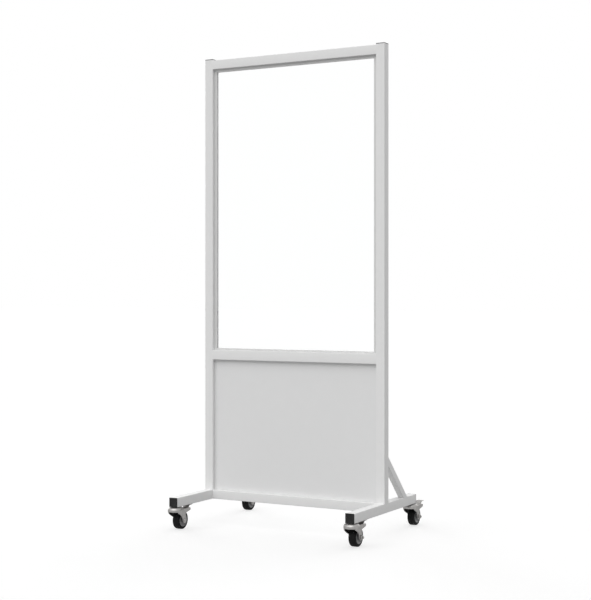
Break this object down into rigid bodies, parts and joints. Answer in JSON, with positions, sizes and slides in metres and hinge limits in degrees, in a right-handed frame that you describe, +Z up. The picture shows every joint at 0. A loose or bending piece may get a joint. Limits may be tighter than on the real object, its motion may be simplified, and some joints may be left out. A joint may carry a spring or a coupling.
{
  "type": "rolling partition",
  "caption": "Tall free-standing room partition with a clear upper window and a solid lower panel in a white square-tube frame on feet with braked swivel casters.",
  "frame": {"origin": "centre of the footprint on the floor, under the middle of the bounding box", "axes": "+X to the right across the panel, +Y to the rear, the way the feet and the brake pedals point, +Z up"},
  "size_m": [0.8784, 0.6916, 1.9758],
  "materials": {
    "white_paint": "white powder coat, semi-gloss",
    "white_sheet": "white, matt",
    "window_channel": "white, satin",
    "clear_sheet": "clear, polished",
    "black_plastic": "black, matt moulded",
    "zinc_steel": "bright zinc plate, pressed",
    "tyre_rubber": "black, matt",
    "hub_plastic": "dark grey moulded"
  },
  "bodies": {
    "frame": {"left_post": "white_paint", "left_post_cap": "black_plastic", "left_foot": "white_paint", "left_foot_front_cap": "black_plastic", "left_foot_rear_cap": "black_plastic", "left_brace": "white_paint", "right_post": "white_paint", "right_post_cap": "black_plastic", "right_foot": "white_paint", "right_foot_front_cap": "black_plastic", "right_foot_rear_cap": "black_plastic", "right_brace": "white_paint", "top_rail": "white_paint", "mid_rail": "white_paint", "bottom_rail": "white_paint", "window_channel_left": "window_channel", "window_channel_right": "window_channel", "window_channel_top": "window_channel", "window_channel_bottom": "window_channel", "clear_panel": "clear_sheet", "lower_panel": "white_sheet", "panel_stop_left": "white_paint", "panel_stop_right": "white_paint", "panel_stop_top": "white_paint", "panel_stop_bottom": "white_paint", "front_left_stem": "zinc_steel", "front_left_swivel_washer": "zinc_steel", "front_right_stem": "zinc_steel", "front_right_swivel_washer": "zinc_steel", "rear_left_stem": "zinc_steel", "rear_left_swivel_washer": "zinc_steel", "rear_right_stem": "zinc_steel", "rear_right_swivel_washer": "zinc_steel"},
    "front_left_caster": {"front_left_fork": "zinc_steel", "front_left_axle_bolt": "zinc_steel", "front_left_axle_nut": "zinc_steel"},
    "front_left_wheel": {"front_left_tyre": "tyre_rubber", "front_left_hub": "hub_plastic"},
    "front_left_pedal": {"front_left_brake_pedal": "zinc_steel"},
    "front_right_caster": {"front_right_fork": "zinc_steel", "front_right_axle_bolt": "zinc_steel", "front_right_axle_nut": "zinc_steel"},
    "front_right_wheel": {"front_right_tyre": "tyre_rubber", "front_right_hub": "hub_plastic"},
    "front_right_pedal": {"front_right_brake_pedal": "zinc_steel"},
    "rear_left_caster": {"rear_left_fork": "zinc_steel", "rear_left_axle_bolt": "zinc_steel", "rear_left_axle_nut": "zinc_steel"},
    "rear_left_wheel": {"rear_left_tyre": "tyre_rubber", "rear_left_hub": "hub_plastic"},
    "rear_left_pedal": {"rear_left_brake_pedal": "zinc_steel"},
    "rear_right_caster": {"rear_right_fork": "zinc_steel", "rear_right_axle_bolt": "zinc_steel", "rear_right_axle_nut": "zinc_steel"},
    "rear_right_wheel": {"rear_right_tyre": "tyre_rubber", "rear_right_hub": "hub_plastic"},
    "rear_right_pedal": {"rear_right_brake_pedal": "zinc_steel"}
  },
  "joints": [
    {"name": "front_left_swivel", "type": "hinge", "parent": "frame", "child": "front_left_caster", "pos_m": [-0.40495, -0.31325, 0.0963], "axis": [0, 0, 1], "continuous": true},
    {"name": "front_left_roll", "type": "hinge", "parent": "front_left_caster", "child": "front_left_wheel", "pos_m": [-0.40495, -0.27925, 0.0375], "axis": [1, 0, 0], "continuous": true},
    {"name": "front_left_brake", "type": "hinge", "parent": "front_left_caster", "child": "front_left_pedal", "pos_m": [-0.40495, -0.25325, 0.0803], "axis": [-1, 0, 0], "range_deg": [0, 14]},
    {"name": "front_right_swivel", "type": "hinge", "parent": "frame", "child": "front_right_caster", "pos_m": [0.40495, -0.31325, 0.0963], "axis": [0, 0, 1], "continuous": true},
    {"name": "front_right_roll", "type": "hinge", "parent": "front_right_caster", "child": "front_right_wheel", "pos_m": [0.40495, -0.27925, 0.0375], "axis": [1, 0, 0], "continuous": true},
    {"name": "front_right_brake", "type": "hinge", "parent": "front_right_caster", "child": "front_right_pedal", "pos_m": [0.40495, -0.25325, 0.0803], "axis": [-1, 0, 0], "range_deg": [0, 14]},
    {"name": "rear_left_swivel", "type": "hinge", "parent": "frame", "child": "rear_left_caster", "pos_m": [-0.40495, 0.23775, 0.0963], "axis": [0, 0, 1], "continuous": true},
    {"name": "rear_left_roll", "type": "hinge", "parent": "rear_left_caster", "child": "rear_left_wheel", "pos_m": [-0.40495, 0.27175, 0.0375], "axis": [1, 0, 0], "continuous": true},
    {"name": "rear_left_brake", "type": "hinge", "parent": "rear_left_caster", "child": "rear_left_pedal", "pos_m": [-0.40495, 0.29775, 0.0803], "axis": [-1, 0, 0], "range_deg": [0, 14]},
    {"name": "rear_right_swivel", "type": "hinge", "parent": "frame", "child": "rear_right_caster", "pos_m": [0.40495, 0.23775, 0.0963], "axis": [0, 0, 1], "continuous": true},
    {"name": "rear_right_roll", "type": "hinge", "parent": "rear_right_caster", "child": "rear_right_wheel", "pos_m": [0.40495, 0.27175, 0.0375], "axis": [1, 0, 0], "continuous": true},
    {"name": "rear_right_brake", "type": "hinge", "parent": "rear_right_caster", "child": "rear_right_pedal", "pos_m": [0.40495, 0.29775, 0.0803], "axis": [-1, 0, 0], "range_deg": [0, 14]}
  ]
}
